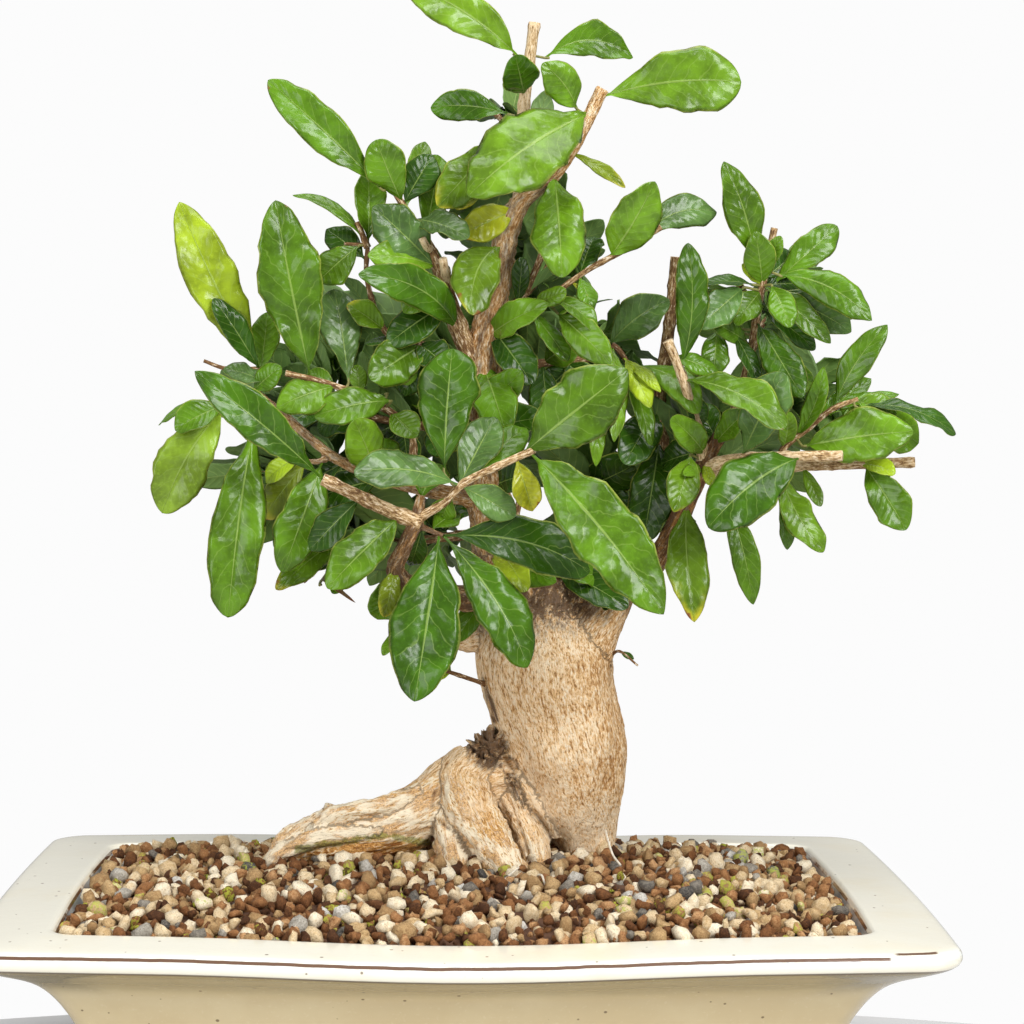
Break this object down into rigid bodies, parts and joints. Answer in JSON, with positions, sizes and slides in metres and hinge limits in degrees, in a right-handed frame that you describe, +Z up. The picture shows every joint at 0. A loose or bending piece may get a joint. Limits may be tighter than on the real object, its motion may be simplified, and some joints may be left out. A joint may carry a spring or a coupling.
{
  "type": "pomegranate bonsai",
  "caption": "Small pomegranate bonsai with a thick clay-brown trunk, spreading surface roots, cut-back branches and glossy leaves in a cream glazed tray pot.",
  "frame": {"origin": "middle of the bounding box, on the surface the pot's feet stand on", "axes": "+X to the right seen from the front, +Y to the back, +Z up"},
  "size_m": [0.3698, 0.2558, 0.4393],
  "materials": {
    "glaze": "cream glaze with fine brown speckles, worn to brown along the edges",
    "soil": "loose grains of fired clay, pumice and lava",
    "bark": "matt tan bark with fine dark streaks",
    "branch_bark": "matt brown twig bark, paler on the cut ends",
    "leaf": "glossy mid-green leaf with a pale midrib",
    "screen": "black plastic mesh",
    "wire": "plain drawn wire"
  },
  "bodies": {
    "root": {"back_limb": "branch_bark", "crown_stub": "branch_bark", "drain_screen_left": "screen", "drain_screen_right": "screen", "far_right_twig": "branch_bark", "front_cut_stub": "branch_bark", "front_limb": "branch_bark", "front_twig": "branch_bark", "leaf_back_1": "leaf", "leaf_back_2": "leaf", "leaf_back_3": "leaf", "leaf_crown_1": "leaf", "leaf_crown_2": "leaf", "leaf_crown_3": "leaf", "leaf_crown_4": "leaf", "leaf_crown_5": "leaf", "leaf_far_right_1": "leaf", "leaf_far_right_2": "leaf", "leaf_far_right_3": "leaf", "leaf_far_right_4": "leaf", "leaf_front_1": "leaf", "leaf_front_2": "leaf", "leaf_front_3": "leaf", "leaf_front_4": "leaf", "leaf_front_5": "leaf", "leaf_front_6": "leaf", "leaf_front_7": "leaf", "leaf_front_8": "leaf", "leaf_left_1": "leaf", "leaf_left_2": "leaf", "leaf_left_3": "leaf", "leaf_left_4": "leaf", "leaf_left_5": "leaf", "leaf_left_6": "leaf", "leaf_right_1": "leaf", "leaf_right_2": "leaf", "leaf_right_3": "leaf", "leaf_right_4": "leaf", "leaf_shoot_1": "leaf", "leaf_shoot_2": "leaf", "leaf_shoot_3": "leaf", "leaf_shoot_4": "leaf", "leaf_upper_left": "leaf", "left_cut_twig": "branch_bark", "left_limb": "branch_bark", "level_stub_lower": "branch_bark", "level_stub_upper": "branch_bark", "long_right_twig": "branch_bark", "main_stem": "branch_bark", "pot": "glaze", "right_limb": "branch_bark", "right_shoot": "branch_bark", "right_stick": "branch_bark", "screen_wire_left": "wire", "screen_wire_right": "wire", "soil": "soil", "tan_stub": "branch_bark", "trunk_and_roots": "bark", "upper_left_shoot": "branch_bark"}
  },
  "joints": []
}
